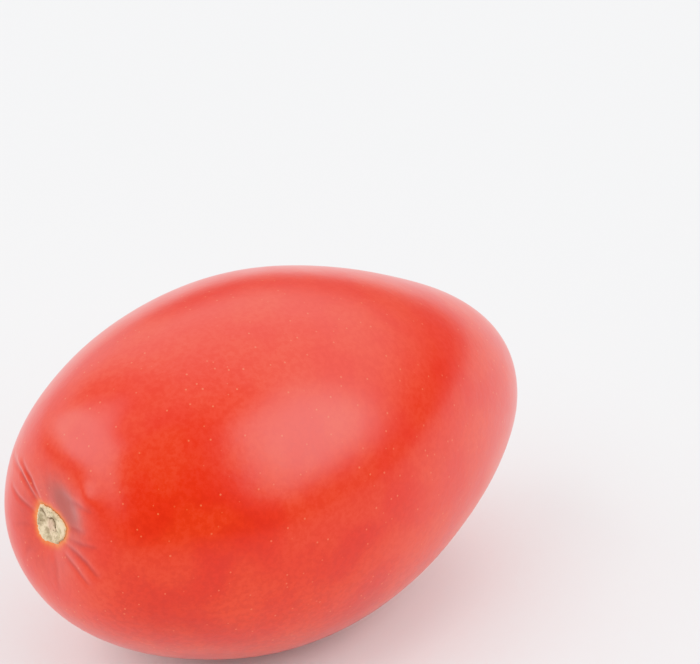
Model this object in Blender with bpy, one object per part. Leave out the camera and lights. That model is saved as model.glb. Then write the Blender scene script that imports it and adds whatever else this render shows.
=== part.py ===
"""A ripe plum tomato, picked without its calyx, lying on its side.

Frame: metres, +Z up, origin on the surface it lies on, under the middle of
its outline. The stem end points to -X and sits a little higher than the
blossom end, which is how the fruit balances. It touches the surface with one
small flat spot.

The fruit is one body. It starts as a sphere whose poles are the stem end and
the blossom end, and every point of that sphere is moved by the rules in
fruit_point(): a long oval, fuller towards the stem, with three faint
shoulders round a shallow hollow that holds the dry stem scar.
"""

import math

import bmesh
import bpy
from mathutils import Matrix, Vector

# ---- driving dimensions (metres and degrees) ----
HALF_LENGTH = 0.0388        # of the oval, before its stem end is blunted
RADIUS = 0.0234             # of the oval, before the fullness terms
FULL_TO_STEM = 0.113        # share by which the stem half is fuller
FULL_THIRD = -0.006         # finer terms of the same profile
FULL_FOURTH = 0.0235
BLUNT_DEPTH = 0.0031        # how far the oval's stem tip is pressed back
BLUNT_REACH = 0.010         # distance at which that fades to a third
HOLLOW_DEPTH = 0.0009       # narrower hollow round the scar
HOLLOW_REACH = 0.0045
SCAR_UP = 0.0013            # the scar sits off the long axis
SCAR_SIDE = 0.0008
SCAR_RADIUS = 0.0028        # dry corky scar, 5.6 mm across
SCAR_STEP = 0.00018         # the cork stands this much proud of the skin
OVAL_SHARE = 0.0088         # the cross-section is not quite round
OVAL_TURN = math.radians(-31.0)
SHOULDER_SHARE = 0.023      # three faint shoulders, at the stem end only
SHOULDER_TURN = math.radians(7.3)
BOW_UP = 0.00053            # the long axis is slightly bowed
BOW_SIDE = 0.00064
STEM_RISE = math.radians(5.6)    # the stem end lies this much higher
SPOT_DEPTH = 0.00080        # how far the resting spot is pressed flat
SPOT_BLEND = 0.00012        # half height of the rounding at its rim

AROUND = 64                 # facets round the girth
ALONG = 40                  # facets from end to end


def fullness(polar):
    """Radius multiplier at a polar angle measured from the stem end."""
    return (
        1.0
        + FULL_TO_STEM * math.cos(polar)
        + FULL_THIRD * math.cos(3.0 * polar)
        + FULL_FOURTH * math.cos(4.0 * polar)
    )


def cross_section(polar, turn):
    """Departure from a round section: an oval, and shoulders at the stem."""
    stem = ((1.0 + math.cos(polar)) / 2.0) ** 2
    return (
        1.0
        + OVAL_SHARE * math.cos(2.0 * (turn - OVAL_TURN))
        + SHOULDER_SHARE * stem * math.cos(3.0 * (turn - SHOULDER_TURN))
    )


def fruit_point(polar, turn):
    """(up, side, along): along runs to the stem, up is away from the table."""
    radius = RADIUS * math.sin(polar) * fullness(polar) * cross_section(polar, turn)
    along = HALF_LENGTH * math.cos(polar)
    bow = (along / HALF_LENGTH) ** 2 - 1.0 / 3.0
    up = radius * math.cos(turn) + BOW_UP * bow
    side = radius * math.sin(turn) + BOW_SIDE * bow
    if along > 0.0:
        off = math.hypot(up - SCAR_UP, side - SCAR_SIDE)
        along -= BLUNT_DEPTH * math.exp(-((off / BLUNT_REACH) ** 2))
        along -= HOLLOW_DEPTH * math.exp(-((off / HOLLOW_REACH) ** 2))
        cork = min(max((SCAR_RADIUS - off) / 0.0006 + 0.5, 0.0), 1.0)
        along += SCAR_STEP * cork * cork * (3.0 - 2.0 * cork)
    return up, side, along


def press_flat(height):
    """Height after resting: flat at zero, with a rounded rim round the spot."""
    if height <= -SPOT_BLEND:
        return 0.0
    if height >= SPOT_BLEND:
        return height
    return (height + SPOT_BLEND) ** 2 / (4.0 * SPOT_BLEND)


def lying_frame():
    """Axes of the fruit as it lies: along to the stem, up, and to the side."""
    along = Vector((-math.cos(STEM_RISE), 0.0, math.sin(STEM_RISE)))
    up = Vector((math.sin(STEM_RISE), 0.0, math.cos(STEM_RISE)))
    return up, along.cross(up), along


def skin_material(name, colour, roughness):
    material = bpy.data.materials.new(name)
    material.use_nodes = True
    shader = material.node_tree.nodes["Principled BSDF"]
    shader.inputs["Base Color"].default_value = (*colour, 1.0)
    shader.inputs["Roughness"].default_value = roughness
    shader.inputs["Metallic"].default_value = 0.0
    return material


def build_tomato(collection):
    bm = bmesh.new()
    bmesh.ops.create_uvsphere(bm, u_segments=AROUND, v_segments=ALONG, radius=1.0)
    up_axis, side_axis, along_axis = lying_frame()
    scar_distance = {}
    for vert in bm.verts:
        polar = math.acos(max(-1.0, min(1.0, vert.co.z)))
        turn = math.atan2(vert.co.y, vert.co.x)
        up, side, along = fruit_point(polar, turn)
        vert.co = up_axis * up + side_axis * side + along_axis * along
        off = math.hypot(up - SCAR_UP, side - SCAR_SIDE)
        scar_distance[vert] = off if along > 0.0 else 1.0

    low = Vector([min(vert.co[i] for vert in bm.verts) for i in range(3)])
    high = Vector([max(vert.co[i] for vert in bm.verts) for i in range(3)])
    middle = (low + high) / 2.0
    shift = Vector((-middle.x, -middle.y, -(low.z + SPOT_DEPTH)))
    for vert in bm.verts:
        vert.co += shift
        vert.co.z = press_flat(vert.co.z)

    for face in bm.faces:
        face.smooth = True
        if max(scar_distance[vert] for vert in face.verts) < SCAR_RADIUS + 0.0003:
            face.material_index = 1
    bmesh.ops.recalc_face_normals(bm, faces=bm.faces)

    mesh = bpy.data.meshes.new("tomato")
    bm.to_mesh(mesh)
    bm.free()
    mesh.materials.append(skin_material("tomato_skin", (0.74, 0.045, 0.016), 0.32))
    mesh.materials.append(skin_material("stem_scar_cork", (0.60, 0.49, 0.33), 0.85))
    tomato = bpy.data.objects.new("tomato", mesh)
    tomato.matrix_world = Matrix.Identity(4)
    collection.objects.link(tomato)
    return tomato


for old in list(bpy.data.objects):
    bpy.data.objects.remove(old, do_unlink=True)

fruit = bpy.data.collections.new("plum_tomato")
bpy.context.scene.collection.children.link(fruit)
build_tomato(fruit)
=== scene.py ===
import math
import bpy
import numpy as np
from mathutils import Matrix, Vector


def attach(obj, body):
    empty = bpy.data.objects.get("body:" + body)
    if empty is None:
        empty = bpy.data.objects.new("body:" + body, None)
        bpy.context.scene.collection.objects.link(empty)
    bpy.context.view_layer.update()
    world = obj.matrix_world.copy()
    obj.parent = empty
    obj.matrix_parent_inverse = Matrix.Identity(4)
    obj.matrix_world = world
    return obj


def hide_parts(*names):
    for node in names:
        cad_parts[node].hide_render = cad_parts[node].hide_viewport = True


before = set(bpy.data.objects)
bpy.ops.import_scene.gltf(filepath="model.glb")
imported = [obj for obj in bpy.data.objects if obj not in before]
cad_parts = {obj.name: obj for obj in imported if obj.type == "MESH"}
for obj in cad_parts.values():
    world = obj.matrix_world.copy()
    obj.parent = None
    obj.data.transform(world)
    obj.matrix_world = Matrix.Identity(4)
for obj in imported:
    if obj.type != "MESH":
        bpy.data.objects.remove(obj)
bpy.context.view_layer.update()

# ---------------------------------------------------------------- the fruit
# Millimetres: the same rule as the solid that this skin stands for.
HALF_LENGTH, RADIUS = 38.8, 23.4
SCAR_UP, SCAR_SIDE = 1.3, 0.8
BOW_UP, BOW_SIDE = 0.53, 0.64
RISE = math.radians(5.6)
SPOT_DEPTH, SPOT_BLEND = 0.80, 0.12
ALONG = np.array([-math.cos(RISE), 0.0, math.sin(RISE)])
UP = np.array([math.sin(RISE), 0.0, math.cos(RISE)])
SIDE = np.array([0.0, 1.0, 0.0])


def fruit(d):
    """Unit directions, +Z to the stem, to (up, side, along) in millimetres."""
    polar = np.arccos(np.clip(d[..., 2], -1, 1))
    turn = np.arctan2(d[..., 1], d[..., 0])
    full = 1 + 0.113 * np.cos(polar) - 0.006 * np.cos(3 * polar) + 0.0235 * np.cos(4 * polar)
    stem = ((1 + np.cos(polar)) / 2) ** 2
    cross = (
        1
        + 0.0088 * np.cos(2 * (turn - math.radians(-31)))
        + 0.023 * stem * np.cos(3 * (turn - math.radians(7.3)))
    )
    radius = RADIUS * np.sin(polar) * full * cross
    along = HALF_LENGTH * np.cos(polar)
    bow = (along / HALF_LENGTH) ** 2 - 1 / 3
    up = radius * np.cos(turn) + BOW_UP * bow
    side = radius * np.sin(turn) + BOW_SIDE * bow
    off = np.hypot(up - SCAR_UP, side - SCAR_SIDE)
    stem_half = along > 0
    along = along - stem_half * (3.1 * np.exp(-((off / 10) ** 2)) + 0.9 * np.exp(-((off / 4.5) ** 2)))
    return np.stack([up, side, along], axis=-1)


def placed(local):
    return local[..., 0:1] * UP + local[..., 1:2] * SIDE + local[..., 2:3] * ALONG


def unit(v):
    return v / np.linalg.norm(v, axis=-1, keepdims=True)


def normals(d):
    """Outward normals of the smooth fruit, from two small steps on the sphere."""
    helper = np.where(np.abs(d[..., 0:1]) < 0.8, [1.0, 0, 0], [0, 1.0, 0])
    first = unit(np.cross(d, helper))
    second = np.cross(d, first)
    step = 2e-3
    here = placed(fruit(d))
    a = placed(fruit(unit(d + step * first))) - here
    b = placed(fruit(unit(d + step * second))) - here
    n = unit(np.cross(a, b))
    outward = np.sum(n * here, axis=-1, keepdims=True) < 0
    return np.where(outward, -n, n)


# The grid's pole is at the middle of the scar, so the rings close in on it.
tilt = math.hypot(SCAR_UP - BOW_UP * 2 / 3, SCAR_SIDE - BOW_SIDE * 2 / 3) / (RADIUS * 1.1305)
toward = math.atan2(SCAR_SIDE - BOW_SIDE * 2 / 3, SCAR_UP - BOW_UP * 2 / 3)
POLE = np.array([math.sin(tilt) * math.cos(toward), math.sin(tilt) * math.sin(toward), math.cos(tilt)])
ACROSS = unit(np.array([1.0, 0, 0]) - POLE * POLE[0])
THIRD = np.cross(POLE, ACROSS)
MM_PER_RADIAN = RADIUS * 1.1305


def direction(theta, psi):
    return (
        np.sin(theta)[..., None] * (np.cos(psi)[..., None] * ACROSS + np.sin(psi)[..., None] * THIRD)
        + np.cos(theta)[..., None] * POLE
    )


def place_of(off, degrees):
    a = math.radians(degrees)
    return (SCAR_UP + off * math.cos(a), SCAR_SIDE + off * math.sin(a))


def along_line(up, side, stops, width, height):
    """A soft ridge, or with a negative height a crease, along (off, angle) stops."""
    ends = [place_of(*stop) for stop in stops]
    best = np.full(up.shape, 1e9)
    share = np.zeros(up.shape)
    total = len(ends) - 1
    for i, (p, q) in enumerate(zip(ends, ends[1:])):
        du, ds = q[0] - p[0], q[1] - p[1]
        t = np.clip(((up - p[0]) * du + (side - p[1]) * ds) / (du * du + ds * ds), 0, 1)
        gap = np.hypot(up - p[0] - t * du, side - p[1] - t * ds)
        nearer = gap < best
        share = np.where(nearer, (i + t) / total, share)
        best = np.where(nearer, gap, best)
    fade = np.sin(np.pi * np.clip(0.12 + 0.76 * share, 0, 1)) ** 0.7
    return height * fade * np.exp(-((best / width) ** 2))


def bump_at(up, side, off, degrees, long_way, short_way, lean, height):
    u, s = place_of(off, degrees)
    a = math.radians(lean)
    x = (up - u) * math.cos(a) + (side - s) * math.sin(a)
    y = -(up - u) * math.sin(a) + (side - s) * math.cos(a)
    return height * np.exp(-((x / long_way) ** 2) - (y / short_way) ** 2)


CREASES = (
    (((11.0, 67), (8.0, 56), (5.7, 51), (3.6, 48)), 0.50, -0.24),
    (((8.6, 50), (6.3, 41), (3.8, 37)), 0.45, -0.20),
    (((8.1, 80), (6.3, 81), (3.4, 79)), 0.45, -0.18),
    (((9.6, 58), (7.0, 49), (4.6, 44)), 0.40, 0.14),
    (((6.3, -34), (7.8, -43), (9.2, -52)), 0.55, -0.16),
    (((4.6, -64), (7.2, -68)), 0.45, -0.16),
    (((3.6, -99), (5.9, -95), (7.8, -97), (9.8, -102)), 0.55, -0.22),
    (((4.0, -84), (6.4, -82), (9.0, -80)), 0.50, -0.16),
    (((4.4, -116), (6.6, -112), (9.0, -114)), 0.50, -0.17),
    (((3.6, 150), (5.6, 146), (7.8, 149)), 0.60, -0.06),
    (((3.4, 116), (5.2, 112), (7.0, 115)), 0.60, -0.07),
    (((3.4, -152), (5.2, -150), (7.4, -156)), 0.60, -0.06),
    (((3.4, 8), (5.4, 4), (7.6, 9)), 0.70, -0.05),
)


def relief(local):
    """Folds and dents round the stem and a slow unevenness, in millimetres."""
    up, side, along = local[..., 0], local[..., 1], local[..., 2]
    near = np.clip(along / 12, 0, 1)
    total = np.zeros(up.shape)
    for stops, width, height in CREASES:
        total += along_line(up, side, stops, width, 0.72 * height)
    total += bump_at(up, side, 12.6, -9, 2.9, 1.1, 80, -0.20)
    total += bump_at(up, side, 13.6, -24, 4.6, 3.2, 66, 0.52)
    total += bump_at(up, side, 5.6, -38, 3.0, 1.7, 50, -0.46)
    total += bump_at(up, side, 9.4, -43, 1.8, 1.3, 30, 0.34)
    slow = (
        0.060 * np.sin(up / 4.1 + 0.7) * np.sin(side / 5.3 + 1.1)
        + 0.055 * np.sin(along / 6.7 + up / 9.0) * np.sin(side / 6.1 - 0.4)
        + 0.030 * np.sin(along / 3.1 + 1.9) * np.sin((up + side) / 3.7)
    )
    return total * near + slow


def crease_shade_depth(local):
    """How deep in a crease a point lies, from 0 to 1: the mask of the painted crease shade."""
    deepest = np.zeros(local.shape[:-1])
    for stops, width, height in CREASES:
        if height < 0:
            painted_shade_line = along_line(local[..., 0], local[..., 1], stops, width * 0.62, -height / 0.24)
            deepest = np.maximum(deepest, painted_shade_line)
    return deepest * (local[..., 2] > 0)


def shift_of():
    theta, psi = np.meshgrid(np.linspace(0, np.pi, 361), np.linspace(0, 2 * np.pi, 361))
    points = placed(fruit(direction(theta, psi)))
    low, high = points.min(axis=(0, 1)), points.max(axis=(0, 1))
    return np.array([-(low[0] + high[0]) / 2, -(low[1] + high[1]) / 2, -(low[2] + SPOT_DEPTH)])


SHIFT = shift_of()


def rested(points):
    """The fruit pressed flat where its weight lies."""
    points = points + SHIFT
    z = points[..., 2]
    soft = (z + SPOT_BLEND) ** 2 / (4 * SPOT_BLEND)
    points[..., 2] = np.where(z <= -SPOT_BLEND, 0, np.where(z >= SPOT_BLEND, z, soft))
    return points


def closed_mesh(name, top, rings, bottom, fields):
    """A closed body from a first point, rings of points and a last point."""
    count, around = rings.shape[:2]
    points = np.concatenate([[top], rings.reshape(-1, 3), [bottom]]) / 1000
    j = np.arange(around)
    k = (j + 1) % around
    faces = [(0, 1 + a, 1 + b) for a, b in zip(j.tolist(), k.tolist())]
    for i in range(count - 1):
        a = 1 + i * around
        b = a + around
        faces += [(a + p, b + p, b + q, a + q) for p, q in zip(j.tolist(), k.tolist())]
    last = 1 + (count - 1) * around
    faces += [(len(points) - 1, last + b, last + a) for a, b in zip(j.tolist(), k.tolist())]
    middle = points.mean(axis=0)
    a, b, c = (points[faces[around // 2][i]] - middle for i in range(3))
    if np.dot(a, np.cross(b, c)) < 0:
        faces = [face[::-1] for face in faces]
    mesh = bpy.data.meshes.new(name)
    mesh.from_pydata(points.tolist(), [], faces)
    for field, values in fields.items():
        kind = "FLOAT_VECTOR" if values.ndim > 1 else "FLOAT"
        layer = mesh.attributes.new(field, kind, "POINT")
        layer.data.foreach_set("vector" if values.ndim > 1 else "value", values.astype(np.float32).ravel())
    mesh.validate()
    mesh.shade_smooth()
    obj = bpy.data.objects.new(name, mesh)
    bpy.context.scene.collection.objects.link(obj)
    return obj


def with_ends(values):
    """A field on the rings, with the first and the last point's own values."""
    flat = values.reshape((-1,) + values.shape[2:])
    return np.concatenate([[values[0].mean(axis=0)], flat, [values[-1].mean(axis=0)]])


# ----------------------------------------------------------------- the skin
RINGS, AROUND = 268, 300
share = np.arange(1, RINGS + 1) / (RINGS + 1)
theta, psi = np.meshgrid(
    np.pi * (0.20 * share + 0.80 * share**2), np.arange(AROUND) * 2 * np.pi / AROUND, indexing="ij"
)
d = direction(theta, psi)
local = fruit(d)
offset = relief(local)
tip = MM_PER_RADIAN * 0.75 * (np.pi - theta)
offset = offset - 0.30 * np.exp(-((tip / 1.3) ** 2))
under = np.clip((2.0 - theta * MM_PER_RADIAN) / 0.4, 0, 1)
offset = offset - 0.48 * under * under * (3 - 2 * under)
skin_points = rested(placed(local) + normals(d) * offset[..., None])
top = rested((placed(fruit(POLE)) - normals(POLE[None])[0] * 0.48)[None])[0]
bottom = rested((placed(fruit(-POLE)) - normals(-POLE[None])[0] * 0.30)[None])[0]
off = np.hypot(local[..., 0] - SCAR_UP, local[..., 1] - SCAR_SIDE)
turn = np.arctan2(local[..., 1] - SCAR_SIDE, local[..., 0] - SCAR_UP)
stem_side = local[..., 2] > 0
# Painted shade: a greyish darkening of the red in the hollow up beside the scar and in a ring round it.
painted_hollow_shade = stem_side * (
    bump_at(local[..., 0], local[..., 1], 5.4, -34, 3.6, 2.2, 54, 1.0)
    + 0.30 * np.exp(-(((off - 5.0) / 2.6) ** 2))
)


def scar_edge(angle):
    """How far the cork reaches, in millimetres: a teardrop with a tail and a lobe."""
    degrees = np.degrees(angle)

    def hill(at, width, height):
        gap = (degrees - at + 180) % 360 - 180
        return height * np.exp(-((gap / width) ** 2))

    ragged = 0.05 * np.sin(11 * angle + 1) + 0.04 * np.sin(23 * angle + 2.2) + 0.03 * np.sin(37 * angle)
    return 2.46 + hill(-66, 30, 1.22) + hill(44, 17, 0.46) + hill(75, 30, 0.15) + hill(-165, 30, -0.42) + ragged


rim_gap = off - scar_edge(turn)
halo = stem_side * np.exp(-(np.maximum(rim_gap, 0) / 0.46) ** 1.5)
# Painted shadow: a thin darkened band just outside the cork edge, strongest on one side.
painted_shade_line = stem_side * np.exp(-((rim_gap - 0.10) / 0.16) ** 2) * np.clip(0.35 + np.cos(turn - math.radians(-25)), 0, 1)
skin = closed_mesh(
    "skin",
    top,
    skin_points,
    bottom,
    {
        "halo": with_ends(halo),
        "painted_hollow_shade": with_ends(np.clip(painted_hollow_shade, 0, 1)),
        "painted_rim_shadow": with_ends(painted_shade_line),
        # Painted shade down the creases round the stem.
        "crease": with_ends(crease_shade_depth(local)),
        "blossom": with_ends(np.exp(-((tip / 0.9) ** 2))),
    },
)

# ----------------------------------------------------------------- the scar
LAYERS, STEPS = 64, 220
angle = np.arange(STEPS) * 2 * np.pi / STEPS
edge = scar_edge(angle)
parts = np.linspace(1 / LAYERS, 1, LAYERS)
reach = parts[:, None] * edge[None]


def scar_base(reach_mm, angles):
    d = direction(reach_mm / MM_PER_RADIAN, np.broadcast_to(angles, reach_mm.shape))
    return placed(fruit(d)), normals(d)


base, out = scar_base(reach, angle[None])
u = reach * np.cos(angle)
s = reach * np.sin(angle)
wander = 0.10 * np.sin(5 * angle + 1) + 0.06 * np.sin(9 * angle)
core = np.hypot(u - 0.17, s + 0.18) + wander
slot_gap = np.abs((u - 1.35) * math.sin(math.radians(46)) - (s - 1.40) * math.cos(math.radians(46)))
slot_run = (u - 1.35) * math.cos(math.radians(46)) + (s - 1.40) * math.sin(math.radians(46))
slot = np.exp(-((slot_gap / 0.17) ** 2)) * np.exp(-((slot_run / 0.62) ** 4))
arcs = np.exp(-(((core - 0.95) / 0.13) ** 2)) * np.clip(0.45 + np.cos(np.arctan2(s + 0.18, u - 0.17) + 0.6), 0, 1)
grain = (
    0.030 * np.sin(9 * u + 3 * np.sin(4 * s)) * np.sin(8 * s + 1)
    + 0.022 * np.sin(19 * u + 2) * np.sin(17 * s + 4 * np.sin(5 * u))
)
height = (
    0.17
    + 0.16 * np.exp(-(((parts[:, None] - 0.90) / 0.10) ** 2)) * (1 + 0.35 * np.sin(7 * angle + 1) * np.sin(3 * angle))
    + 0.08 * np.exp(-((core / 0.70) ** 4))
    - 0.15 * arcs
    - 0.09 * slot
    + grain
)
height = height * np.clip((1 - parts[:, None]) / 0.04, 0, 1) ** 0.5
scar_rings = base + out * height[..., None]
skirt_reach = edge[None] * np.array([[1.02], [1.0]])
skirt_base, skirt_out = scar_base(skirt_reach, angle[None])
skirt = skirt_base - skirt_out * np.array([0.22, 0.55])[:, None, None]
all_rings = rested(np.concatenate([scar_rings, skirt]))
middle_base, middle_out = placed(fruit(POLE)), normals(POLE[None])[0]
shape = (LAYERS + 2, STEPS)


def padded(values):
    return np.concatenate([values, values[-1:], values[-1:]])


scar = closed_mesh(
    "stem_scar",
    rested((middle_base + middle_out * 0.22)[None])[0],
    all_rings,
    rested((middle_base - middle_out * 0.60)[None])[0],
    {
        # Painted shade in the crevice arcs and the slot of the cork.
        "painted_crevice_shade": with_ends(np.clip(padded(arcs + slot), 0, 1)),
        "slot": with_ends(padded(slot)),
        "core": with_ends(padded(np.exp(-((core / 0.80) ** 4)))),
        "rim": with_ends(padded(np.broadcast_to(parts[:, None] ** 9, reach.shape))),
    },
)


# ---------------------------------------------------------------- materials
class Nodes:
    """Short calls for a node tree."""

    def __init__(self, tree):
        self.tree = tree

    def make(self, kind, inputs=None, **settings):
        node = self.tree.nodes.new(kind)
        for key, value in settings.items():
            setattr(node, key, value)
        for key, value in (inputs or {}).items():
            if isinstance(value, bpy.types.NodeSocket):
                self.tree.links.new(value, node.inputs[key])
            else:
                node.inputs[key].default_value = value
        return node

    def math(self, operation, a, b=0.0, c=0.0, clamp=False):
        node = self.make("ShaderNodeMath", {0: a, 1: b, 2: c}, operation=operation, use_clamp=clamp)
        return node.outputs[0]

    def mix(self, factor, a, b):
        node = self.tree.nodes.new("ShaderNodeMix")
        node.data_type = "RGBA"
        for index, value in ((0, factor), (6, a), (7, b)):
            if isinstance(value, bpy.types.NodeSocket):
                self.tree.links.new(value, node.inputs[index])
            else:
                node.inputs[index].default_value = value if index == 0 else (*value, 1)
        return node.outputs[2]

    def span(self, value, low, high, start=0.0, end=1.0):
        node = self.make(
            "ShaderNodeMapRange",
            {"Value": value, "From Min": low, "From Max": high, "To Min": start, "To Max": end},
            interpolation_type="SMOOTHSTEP",
        )
        return node.outputs[0]

    def noise(self, scale, detail=2.0, rough=0.5, twist=0.0):
        where = self.make("ShaderNodeTexCoord").outputs["Object"]
        node = self.make(
            "ShaderNodeTexNoise",
            {"Vector": where, "Scale": scale, "Detail": detail, "Roughness": rough, "Distortion": twist},
        )
        return node.outputs[0]

    def cells(self, scale, feature="F1"):
        where = self.make("ShaderNodeTexCoord").outputs["Object"]
        return self.make("ShaderNodeTexVoronoi", {"Vector": where, "Scale": scale}, feature=feature)

    def field(self, name):
        return self.make("ShaderNodeAttribute", attribute_name=name).outputs["Fac"]


def new_material(name):
    material = bpy.data.materials.new(name)
    material.use_nodes = True
    return material, Nodes(material.node_tree), material.node_tree.nodes["Principled BSDF"]


def skin_material():
    material, n, shader = new_material("ripe_skin")
    ripe = n.span(n.noise(42, 3, 0.55), 0.32, 0.68)
    colour = n.mix(ripe, (0.60, 0.022, 0.0060), (0.70, 0.042, 0.0100))
    blotch = n.span(n.noise(160, 1, 0.5), 0.38, 0.66)
    colour = n.mix(n.math("MULTIPLY", blotch, 0.45), colour, (0.74, 0.062, 0.014))
    mottle = n.span(n.noise(1250, 3, 0.65), 0.36, 0.64)
    colour = n.mix(n.math("MULTIPLY", mottle, 0.40), colour, (0.50, 0.016, 0.005))
    # Pale dots, each at the middle of a cell, and not in every cell.
    cell = n.cells(900)
    chance = n.make("ShaderNodeSeparateColor", {"Color": cell.outputs["Color"]}).outputs[0]
    dot = n.span(cell.outputs["Distance"], 0.06, 0.15, 1, 0)
    dot = n.math("MULTIPLY", dot, n.span(chance, 0.35, 0.55))
    colour = n.mix(n.math("MULTIPLY", dot, 0.42), colour, (0.90, 0.30, 0.12))
    # Painted shade in the hollow beside the scar.
    colour = n.mix(n.math("MULTIPLY", n.field("painted_hollow_shade"), 0.90), colour, (0.33, 0.070, 0.058))
    patchy = n.span(n.noise(700, 3, 0.6), 0.30, 0.60, 0.55, 1.0)
    # Painted shade: darker red down the creases round the stem.
    colour = n.mix(n.math("MULTIPLY", n.field("crease"), 0.80), colour, (0.34, 0.018, 0.014))
    colour = n.mix(n.math("MULTIPLY", n.field("halo"), patchy), colour, (0.92, 0.27, 0.018))
    # Painted shadow along one side of the cork edge.
    colour = n.mix(n.math("MULTIPLY", n.field("painted_rim_shadow"), 0.75), colour, (0.13, 0.030, 0.012))
    colour = n.mix(n.math("MULTIPLY", n.field("blossom"), 0.85), colour, (0.24, 0.12, 0.050))
    n.tree.links.new(colour, shader.inputs["Base Color"])
    rough = n.span(n.noise(260, 1, 0.5), 0.2, 0.8, 0.29, 0.33)
    n.tree.links.new(rough, shader.inputs["Roughness"])
    shader.inputs["IOR"].default_value = 1.50
    shader.inputs["Coat Weight"].default_value = 0.22
    shader.inputs["Coat Roughness"].default_value = 0.18
    shader.inputs["Sheen Weight"].default_value = 0.06
    shader.inputs["Sheen Roughness"].default_value = 0.45
    shader.inputs["Sheen Tint"].default_value = (1.0, 0.92, 0.92, 1)
    fine = n.math(
        "ADD",
        n.math("MULTIPLY", n.noise(1500, 3, 0.55), 0.5),
        n.math("MULTIPLY", n.noise(330, 3, 0.5), 1.1),
    )
    fine = n.math("ADD", fine, n.math("MULTIPLY", dot, 0.16))
    bump = n.make("ShaderNodeBump", {"Height": fine, "Strength": 0.35, "Distance": 0.00010})
    n.tree.links.new(bump.outputs[0], shader.inputs["Normal"])
    return material


def cork_material():
    material, n, shader = new_material("stem_cork")
    colour = n.mix(n.span(n.noise(700, 4, 0.65), 0.36, 0.64), (0.34, 0.26, 0.16), (0.68, 0.56, 0.39))
    green = n.span(n.noise(420, 3, 0.5, 0.6), 0.46, 0.66)
    colour = n.mix(n.math("MULTIPLY", green, 0.45), colour, (0.36, 0.34, 0.20))
    colour = n.mix(n.math("MULTIPLY", n.field("core"), 0.65), colour, (0.60, 0.41, 0.31))
    colour = n.mix(n.math("MULTIPLY", n.field("rim"), 0.55), colour, (0.86, 0.68, 0.44))
    # Painted shade: darker brown down the crevice arcs and the slot.
    painted_crevice_shade = n.math("MULTIPLY", n.field("painted_crevice_shade"), n.span(n.noise(1300, 3, 0.6), 0.25, 0.60, 0.45, 0.95))
    colour = n.mix(painted_crevice_shade, colour, (0.13, 0.085, 0.045))
    speck = n.span(n.cells(2000).outputs["Distance"], 0.10, 0.30, 1, 0)
    speck = n.math("MULTIPLY", speck, n.span(n.noise(900, 1), 0.42, 0.54))
    colour = n.mix(n.math("MULTIPLY", speck, 0.75), colour, (0.10, 0.060, 0.030))
    n.tree.links.new(colour, shader.inputs["Base Color"])
    rough = n.span(n.noise(900, 2), 0.3, 0.7, 0.72, 0.90)
    n.tree.links.new(rough, shader.inputs["Roughness"])
    height = n.math("ADD", n.noise(1800, 4, 0.65), n.math("MULTIPLY", speck, -0.5))
    bump = n.make("ShaderNodeBump", {"Height": height, "Strength": 0.7, "Distance": 0.00012})
    n.tree.links.new(bump.outputs[0], shader.inputs["Normal"])
    return material


skin.data.materials.append(skin_material())
scar.data.materials.append(cork_material())
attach(skin, "root")
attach(scar, "root")
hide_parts("tomato")

# ------------------------------------------------------------ floor and light
floor_mesh = bpy.data.meshes.new("floor")
floor_mesh.from_pydata([(-6, -6, 0), (6, -6, 0), (6, 6, 0), (-6, 6, 0)], [], [(0, 1, 2, 3)])
floor = bpy.data.objects.new("floor", floor_mesh)
bpy.context.scene.collection.objects.link(floor)
paper, _, paper_shader = new_material("pale_floor")
paper_shader.inputs["Base Color"].default_value = (0.74, 0.74, 0.74, 1)
paper_shader.inputs["Roughness"].default_value = 0.9
paper_shader.inputs["Specular IOR Level"].default_value = 0.1
floor_mesh.materials.append(paper)

# A studio of soft light: one wide softbox on each side, paler light behind.
world = bpy.data.worlds.new("studio")
world.use_nodes = True
bpy.context.scene.world = world
w = Nodes(world.node_tree)
aim = w.make("ShaderNodeTexCoord").outputs["Generated"]
height_of = w.math("ARCSINE", w.make("ShaderNodeSeparateXYZ", {0: aim}).outputs[2])
CAMERA_SIDE = -131.5


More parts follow.
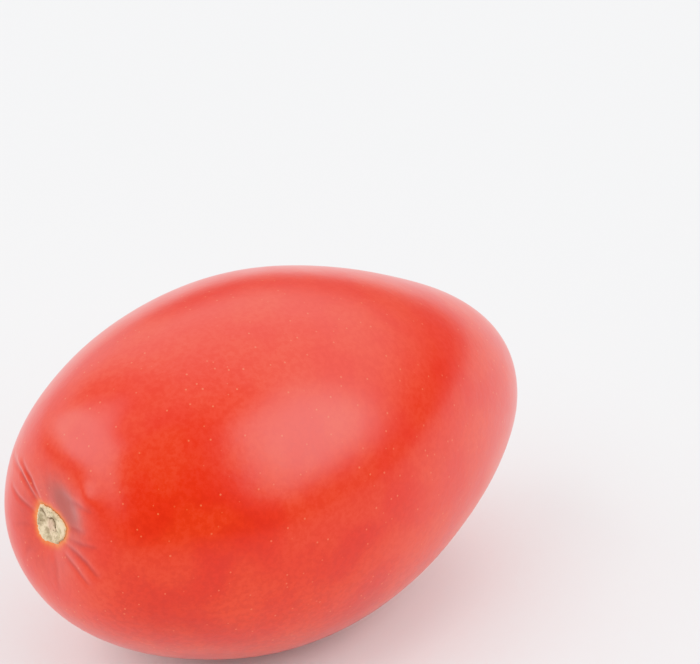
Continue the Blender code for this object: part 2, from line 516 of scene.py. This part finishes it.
def turned_to(degrees):
    """The turn away from a heading, in radians, over the floor."""
    a = math.radians(degrees)
    cosine = w.make("ShaderNodeVectorMath", {0: aim, 1: (math.cos(a), math.sin(a), 0)}, operation="DOT_PRODUCT")
    sine = w.make("ShaderNodeVectorMath", {0: aim, 1: (-math.sin(a), math.cos(a), 0)}, operation="DOT_PRODUCT")
    return w.math("ARCTAN2", sine.outputs["Value"], cosine.outputs["Value"])


def softbox(at, half_width, low, high, level, soft=9.0):
    away = w.math("ABSOLUTE", turned_to(CAMERA_SIDE + at))
    half, blur = math.radians(half_width), math.radians(soft)
    inside = w.span(away, half - blur, half + blur, 1, 0)
    above = w.span(height_of, math.radians(low) - blur, math.radians(low) + blur)
    below = w.span(height_of, math.radians(high) - blur, math.radians(high) + blur, 1, 0)
    inside = w.math("MULTIPLY", w.math("MULTIPLY", inside, above), below)
    return w.math("MULTIPLY", inside, level)


light = w.math("ADD", softbox(-76, 46, 14, 64, 3.3), softbox(66, 27, 16, 60, 4.4))
light = w.math("ADD", light, softbox(155, 63, 21, 76, 1.62, 10))
light = w.math("ADD", light, softbox(-138, 22, 2, 20, 1.1, 7))
overhead = w.span(height_of, math.radians(66), math.radians(84), 0, 0.9)
light = w.math("ADD", w.math("ADD", light, overhead), 0.22)
seen = w.make("ShaderNodeLightPath").outputs["Is Camera Ray"]
plain = w.math("ADD", w.math("MULTIPLY", seen, 1.2), w.math("MULTIPLY", w.math("SUBTRACT", 1.0, seen), light))
background = world.node_tree.nodes["Background"]
background.inputs["Color"].default_value = (0.985, 0.99, 1.0, 1)
world.node_tree.links.new(plain, background.inputs["Strength"])
world.cycles.sampling_method = "MANUAL"
world.cycles.sample_map_resolution = 512

# ------------------------------------------------------------------- camera
camera_data = bpy.data.cameras.new("camera")
camera = bpy.data.objects.new("camera", camera_data)
bpy.context.scene.collection.objects.link(camera)
place = Vector((-0.22251, -0.26423, 0.26431))
target = Vector((0.01158, 0.00007, 0.03595))
camera.matrix_world = Matrix.Translation(place) @ (target - place).to_track_quat("-Z", "Y").to_matrix().to_4x4()
camera_data.sensor_width = 36
camera_data.lens = 169.7
camera_data.clip_start = 0.01
bpy.context.scene.camera = camera
bpy.context.scene.view_settings.view_transform = "Khronos PBR Neutral"
bpy.context.scene.view_settings.look = "None"
